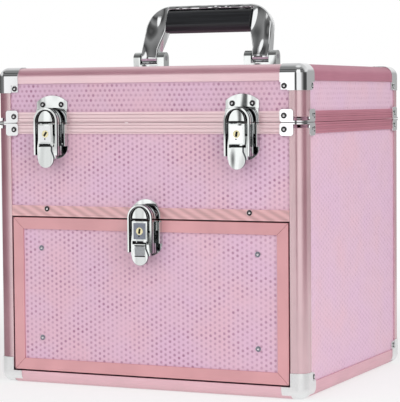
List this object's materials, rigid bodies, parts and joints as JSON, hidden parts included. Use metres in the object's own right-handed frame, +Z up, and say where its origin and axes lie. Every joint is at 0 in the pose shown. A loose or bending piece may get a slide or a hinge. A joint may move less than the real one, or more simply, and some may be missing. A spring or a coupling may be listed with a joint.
{
  "type": "makeup storage case",
  "caption": "Boxy vanity case with a rear-hinged lid over one deep compartment, a full-width drawer below, key latches and a folding carry handle.",
  "frame": {"origin": "centre of the base, on the flat bottom face that the case stands on", "axes": "+Z up, -Y towards the front with the latches and the drawer, X along the width"},
  "size_m": [0.2666, 0.2376, 0.3025],
  "materials": {
    "sequin_panel": "PVC sheet with rows of sequin-like dots on board",
    "pink_aluminium": "satin rose-pink anodised extrusion",
    "chrome_fitting": "polished plated steel",
    "cap_metal": "satin nickel-plated steel",
    "zinc_steel": "zinc-plated steel",
    "grip_black": "black moulded grip",
    "brass_plug": "turned brass",
    "lining_fabric": "black padded lining",
    "drawer_board": "black-faced board",
    "glide_plastic": "white moulded plastic"
  },
  "bodies": {
    "case": {"body_bottom_panel": "sequin_panel", "body_left_panel": "sequin_panel", "body_right_panel": "sequin_panel", "body_back_panel": "sequin_panel", "body_front_panel": "sequin_panel", "compartment_floor": "drawer_board", "drawer_band": "pink_aluminium", "body_corner_profiles": "pink_aluminium", "body_bottom_rails": "pink_aluminium", "body_rim_trim": "pink_aluminium", "body_corner_caps": "cap_metal", "body_corner_clips": "chrome_fitting", "body_rivets": "chrome_fitting", "compartment_lining": "lining_fabric", "drawer_runners": "zinc_steel", "hinge_body_leaves": "chrome_fitting", "hinge_pins": "zinc_steel", "lid_latch_bases": "chrome_fitting", "lid_latch_pins": "zinc_steel", "drawer_strike": "chrome_fitting"},
    "lid": {"lid_top_panel": "sequin_panel", "lid_front_panel": "sequin_panel", "lid_back_panel": "sequin_panel", "lid_left_panel": "sequin_panel", "lid_right_panel": "sequin_panel", "lid_top_rails": "pink_aluminium", "lid_corner_profiles": "pink_aluminium", "lid_rim_trim": "pink_aluminium", "lid_corner_caps": "chrome_fitting", "lid_corner_clips": "chrome_fitting", "lid_rivets": "chrome_fitting", "lid_lining": "lining_fabric", "hinge_lid_leaves": "chrome_fitting", "lid_strikes": "chrome_fitting", "handle_brackets": "chrome_fitting", "handle_pins": "zinc_steel"},
    "handle": {"handle_arch": "chrome_fitting", "handle_grip": "grip_black"},
    "drawer": {"drawer_front_board": "sequin_panel", "drawer_front_frame": "pink_aluminium", "drawer_sides": "drawer_board", "drawer_back": "drawer_board", "drawer_bottom": "drawer_board", "drawer_lining": "lining_fabric", "drawer_glides": "glide_plastic", "drawer_rivets": "chrome_fitting", "drawer_latch_base": "chrome_fitting", "drawer_latch_pin": "zinc_steel"},
    "left_lever": {"left_latch_lever": "chrome_fitting"},
    "left_bail": {"left_latch_bail": "chrome_fitting"},
    "left_key": {"left_key_plug": "brass_plug"},
    "right_lever": {"right_latch_lever": "chrome_fitting"},
    "right_bail": {"right_latch_bail": "chrome_fitting"},
    "right_key": {"right_key_plug": "brass_plug"},
    "drawer_lever": {"drawer_latch_lever": "chrome_fitting"},
    "drawer_bail": {"drawer_latch_bail": "chrome_fitting"},
    "drawer_key": {"drawer_key_plug": "brass_plug"}
  },
  "joints": [
    {"name": "lid_hinge", "type": "hinge", "parent": "case", "child": "lid", "pos_m": [0, 0.1133, 0.2068], "axis": [-1, 0, 0], "range_deg": [0, 100]},
    {"name": "handle_pivot", "type": "hinge", "parent": "lid", "child": "handle", "pos_m": [0, 0.004, 0.2588], "axis": [1, 0, 0], "range_deg": [-65, 105]},
    {"name": "drawer_slide", "type": "slide", "parent": "case", "child": "drawer", "axis": [0, -1, 0], "range_m": [0, 0.15]},
    {"name": "left_lever_pivot", "type": "hinge", "parent": "case", "child": "left_lever", "pos_m": [-0.0812, -0.116, 0.196], "axis": [-1, 0, 0], "range_deg": [0, 90]},
    {"name": "left_bail_pivot", "type": "hinge", "parent": "left_lever", "child": "left_bail", "pos_m": [-0.0812, -0.1148, 0.184], "axis": [-1, 0, 0], "range_deg": [-113, 0]},
    {"name": "left_key_turn", "type": "hinge", "parent": "case", "child": "left_key", "pos_m": [-0.0812, -0.121, 0.1984], "axis": [0, -1, 0], "range_deg": [0, 90]},
    {"name": "right_lever_pivot", "type": "hinge", "parent": "case", "child": "right_lever", "pos_m": [0.0812, -0.116, 0.196], "axis": [-1, 0, 0], "range_deg": [0, 90]},
    {"name": "right_bail_pivot", "type": "hinge", "parent": "right_lever", "child": "right_bail", "pos_m": [0.0812, -0.1148, 0.184], "axis": [-1, 0, 0], "range_deg": [-113, 0]},
    {"name": "right_key_turn", "type": "hinge", "parent": "case", "child": "right_key", "pos_m": [0.0812, -0.121, 0.1984], "axis": [0, -1, 0], "range_deg": [0, 90]},
    {"name": "drawer_lever_pivot", "type": "hinge", "parent": "drawer", "child": "drawer_lever", "pos_m": [0, -0.116, 0.1219], "axis": [-1, 0, 0], "range_deg": [0, 90]},
    {"name": "drawer_bail_pivot", "type": "hinge", "parent": "drawer_lever", "child": "drawer_bail", "pos_m": [0, -0.1148, 0.1099], "axis": [-1, 0, 0], "range_deg": [-113, 0]},
    {"name": "drawer_key_turn", "type": "hinge", "parent": "drawer", "child": "drawer_key", "pos_m": [0, -0.121, 0.1243], "axis": [0, -1, 0], "range_deg": [0, 90]}
  ],
  "couplings": [
    {"joint": "left_bail_pivot", "follows": "left_lever_pivot", "ratio": -1.25},
    {"joint": "right_bail_pivot", "follows": "right_lever_pivot", "ratio": -1.25},
    {"joint": "drawer_bail_pivot", "follows": "drawer_lever_pivot", "ratio": -1.25}
  ]
}
